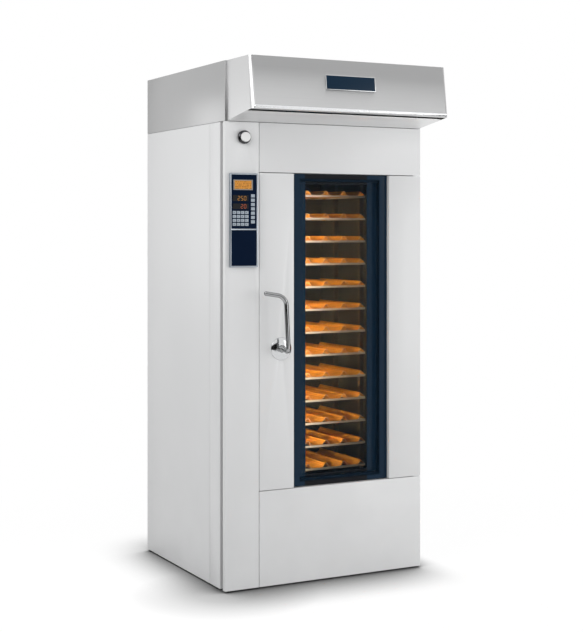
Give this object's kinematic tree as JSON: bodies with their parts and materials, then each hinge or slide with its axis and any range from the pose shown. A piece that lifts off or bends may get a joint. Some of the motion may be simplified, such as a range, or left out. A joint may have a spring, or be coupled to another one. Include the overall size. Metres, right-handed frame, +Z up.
{
  "type": "rack convection oven",
  "caption": "Tall bakery convection oven with a glazed hinged door, turning rack of fluted trays, control column and a projecting steam hood.",
  "frame": {"origin": "floor level, in the middle of the width and in the middle of the whole depth from the hood lip to the drain outlet", "axes": "+X to the right seen from the front, +Y from the door to the rear, +Z up"},
  "size_m": [0.95, 1.1672, 2.25],
  "materials": {
    "cabinet_skin": "satin",
    "hood_steel": "brushed",
    "frame_steel": "satin",
    "stainless": "brushed",
    "chamber_steel": "heat toned",
    "mineral_wool": "matte",
    "chrome": "polished",
    "glass_print": "clear with printed border",
    "blue_paint": "satin",
    "panel_film": "satin",
    "display": "lit",
    "key_film": "satin",
    "alu_trim": "satin",
    "tray_alu": "baked",
    "seal_rubber": "matte",
    "motor_paint": "semi gloss",
    "lamp_glass": "frosted",
    "heater_steel": "oxidised",
    "button_white": "gloss",
    "box_plastic": "matte",
    "brass_fitting": "dull",
    "foot_plastic": "matte"
  },
  "bodies": {
    "cabinet": {"levelling_feet": "foot_plastic", "main_frame": "frame_steel", "side_panels": "cabinet_skin", "corner_strips": "cabinet_skin", "rear_panel": "stainless", "control_column": "cabinet_skin", "header_panel": "cabinet_skin", "lower_front_panel": "cabinet_skin", "front_frame": "stainless", "air_diffuser": "chamber_steel", "air_duct": "chamber_steel", "chamber_walls": "chamber_steel", "chamber_ceiling": "chamber_steel", "chamber_floor": "chamber_steel", "insulation": "mineral_wool", "lamp_housing": "stainless", "lamp_lens": "lamp_glass", "heating_element": "heater_steel", "motor_plate": "frame_steel", "fan_motor": "motor_paint", "gear_motor": "motor_paint", "floor_bearing": "frame_steel", "top_casing": "hood_steel", "hood_canopy": "hood_steel", "hood_underside": "hood_steel", "flue_collar": "stainless", "exhaust_duct": "stainless", "hood_fan_stator": "motor_paint", "hinge_brackets": "stainless", "latch_keeper": "stainless", "control_bezel": "alu_trim", "control_plate": "panel_film", "blank_plate": "panel_film", "displays": "display", "keypad": "key_film", "control_box": "box_plastic", "button_bezel": "chrome", "water_supply": "brass_fitting", "drain_pipe": "stainless", "cable_gland": "foot_plastic"},
    "door": {"door_left_skin": "cabinet_skin", "door_right_skin": "cabinet_skin", "door_core": "mineral_wool", "door_inner_panel": "stainless", "outer_glass": "glass_print", "inner_glass": "glass_print", "glass_spacer": "blue_paint", "door_seal": "seal_rubber", "hinge_blocks": "frame_steel", "handle_rosette": "chrome"},
    "handle": {"handle_lever": "chrome"},
    "latch": {"latch_bolt": "stainless"},
    "rack": {"turntable": "chamber_steel", "rack_frame": "stainless", "tray_runners": "stainless", "baking_trays": "tray_alu"},
    "fan": {"fan_rotor": "stainless"},
    "hood_fan": {"hood_fan_impeller": "stainless"},
    "damper": {"damper_flap": "stainless"},
    "button": {"button_cap": "button_white"}
  },
  "joints": [
    {"name": "door_swing", "type": "hinge", "parent": "cabinet", "child": "door", "pos_m": [0.461, -0.3274, 0.4095], "axis": [0, 0, 1], "range_deg": [0, 120]},
    {"name": "handle_turn", "type": "hinge", "parent": "door", "child": "handle", "pos_m": [-0.21725, -0.3384, 1], "axis": [0, 1, 0], "range_deg": [0, 90]},
    {"name": "latch_slide", "type": "slide", "parent": "door", "child": "latch", "axis": [-1, 0, 0], "range_m": [0, 0.02]},
    {"name": "rack_spin", "type": "hinge", "parent": "cabinet", "child": "rack", "pos_m": [0.04, 0.1028, 0.33], "axis": [0, 0, 1], "continuous": true},
    {"name": "fan_spin", "type": "hinge", "parent": "cabinet", "child": "fan", "pos_m": [0.04, 0.1028, 1.804], "axis": [0, 0, 1], "continuous": true},
    {"name": "hood_fan_spin", "type": "hinge", "parent": "cabinet", "child": "hood_fan", "pos_m": [0.29, 0.3526, 2.1], "axis": [0, 0, 1], "continuous": true},
    {"name": "damper_turn", "type": "hinge", "parent": "cabinet", "child": "damper", "pos_m": [0.29, 0.3526, 1.96], "axis": [1, 0, 0], "range_deg": [0, 90]},
    {"name": "button_push", "type": "slide", "parent": "cabinet", "child": "button", "axis": [0, 1, 0], "range_m": [0, 0.005], "stiffness_N_per_m": 400}
  ],
  "couplings": [
    {"joint": "latch_slide", "follows": "handle_turn", "m_per_rad": 0.012731}
  ]
}
